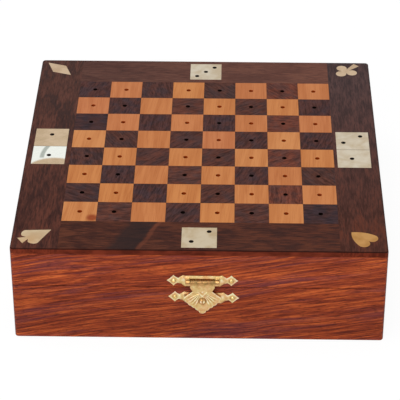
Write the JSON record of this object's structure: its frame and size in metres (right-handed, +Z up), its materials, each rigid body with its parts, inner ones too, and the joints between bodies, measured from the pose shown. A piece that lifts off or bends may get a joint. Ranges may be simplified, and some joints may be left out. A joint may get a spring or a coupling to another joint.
{
  "type": "chess set",
  "caption": "Hinged wooden box whose inlaid lid is a peg chessboard with brass inlays; chessmen, cards, dominoes and dice lie in wells inside, and a brass hasp closes the front.",
  "frame": {"origin": "middle of the underside, on the plane the box stands on", "axes": "+Z up through the lid, +Y towards the hinges, -Y towards the latch, +X to the right as seen from the latch"},
  "size_m": [0.1532, 0.1619, 0.045],
  "materials": {
    "rosewood": "satin red rosewood",
    "dark_rosewood": "satin dark rosewood",
    "light_wood": "satin pale hardwood",
    "inner_wood": "plain sanded board",
    "boxwood": "turned and waxed",
    "ebonised_wood": "turned and waxed",
    "inlay_brass": "polished flat sheet",
    "latch_brass": "stamped and lacquered",
    "hinge_brass": "satin",
    "screw_brass": "bright",
    "domino_bone": "ivory coloured, polished",
    "card_stock": "coated card",
    "black_wax": "black wax pressed into the drilled pips"
  },
  "bodies": {
    "base": {"base_front_wall": "rosewood", "base_back_wall": "rosewood", "base_left_wall": "rosewood", "base_right_wall": "rosewood", "base_floor": "inner_wood", "long_divider": "inner_wood", "card_divider": "inner_wood", "dice_divider": "inner_wood", "left_hinge_base_leaf": "hinge_brass", "left_hinge_pin": "hinge_brass", "right_hinge_base_leaf": "hinge_brass", "right_hinge_pin": "hinge_brass", "hinge_base_screws": "screw_brass", "catch_plate": "latch_brass", "catch_plate_screws": "screw_brass", "light_pawns": "boxwood", "light_rooks": "boxwood", "light_knights": "boxwood", "light_bishops": "boxwood", "light_queen": "boxwood", "light_king": "boxwood", "dark_pawns": "ebonised_wood", "dark_rooks": "ebonised_wood", "dark_knights": "ebonised_wood", "dark_bishops": "ebonised_wood", "dark_queen": "ebonised_wood", "dark_king": "ebonised_wood", "dominoes": "domino_bone", "dice": "domino_bone", "playing_cards": "card_stock"},
    "lid": {"lid_front_wall": "rosewood", "lid_back_wall": "rosewood", "lid_left_wall": "rosewood", "lid_right_wall": "rosewood", "lid_panel": "inner_wood", "left_border": "dark_rosewood", "right_border": "dark_rosewood", "front_border": "dark_rosewood", "back_border": "dark_rosewood", "dark_squares": "dark_rosewood", "light_squares": "light_wood", "diamond_inlay": "inlay_brass", "club_inlay": "inlay_brass", "spade_inlay": "inlay_brass", "heart_inlay": "inlay_brass", "left_domino_inlay": "inlay_brass", "right_domino_inlay": "inlay_brass", "back_die_inlay": "inlay_brass", "front_die_inlay": "inlay_brass", "pip_stoppings": "black_wax", "left_hinge_lid_leaf": "hinge_brass", "right_hinge_lid_leaf": "hinge_brass", "hinge_lid_screws": "screw_brass", "hasp_plate": "latch_brass", "hasp_pin": "latch_brass", "hasp_plate_screws": "screw_brass"},
    "hasp": {"hasp": "latch_brass", "hasp_knob": "latch_brass"}
  },
  "joints": [
    {"name": "lid_hinge", "type": "hinge", "parent": "base", "child": "lid", "pos_m": [0, 0.0794, 0.02665], "axis": [-1, 0, 0], "range_deg": [0, 180]},
    {"name": "hasp_hinge", "type": "hinge", "parent": "lid", "child": "hasp", "pos_m": [0.0015, -0.079, 0.0304], "axis": [-1, 0, 0], "range_deg": [0, 120]}
  ]
}
